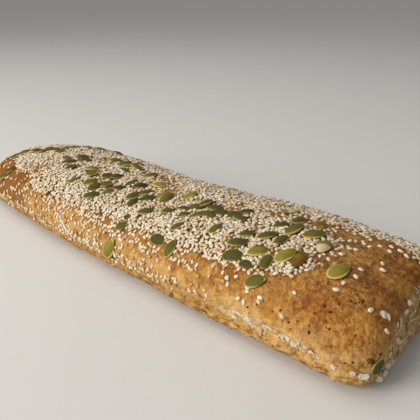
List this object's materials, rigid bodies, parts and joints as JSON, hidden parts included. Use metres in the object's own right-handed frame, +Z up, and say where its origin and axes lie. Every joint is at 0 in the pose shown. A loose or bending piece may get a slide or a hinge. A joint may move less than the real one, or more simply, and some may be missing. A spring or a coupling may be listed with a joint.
{
  "type": "seeded multigrain loaf",
  "caption": "Long, flat, pillow-shaped multigrain loaf with a golden-brown crust, a pale floury seam round its side, and pumpkin and sesame seeds baked onto the top.",
  "frame": {"origin": "middle of the flat base, under the middle of the loaf's bounding box", "axes": "+Z up; +X along the loaf to the near end of the picture, which is the wider and squarer one; the front side is at -Y"},
  "size_m": [0.3934, 0.1151, 0.0497],
  "materials": {
    "crust": "golden-brown baked crust, matt and dry, lightly floured, a little darker and redder towards the near end",
    "flour_seam": "pale dry flour and bare dough along the seam round the side, matt",
    "pumpkin_seed": "hulled pumpkin seed, olive to dark green, some toasted brown, with a faint sheen",
    "sesame_seed": "cream-white hulled sesame, a few lightly toasted, satin",
    "dark_seed": "dark grain specks and brown linseed in the crust, matt"
  },
  "bodies": {
    "root": {"loaf": "crust"}
  },
  "joints": []
}
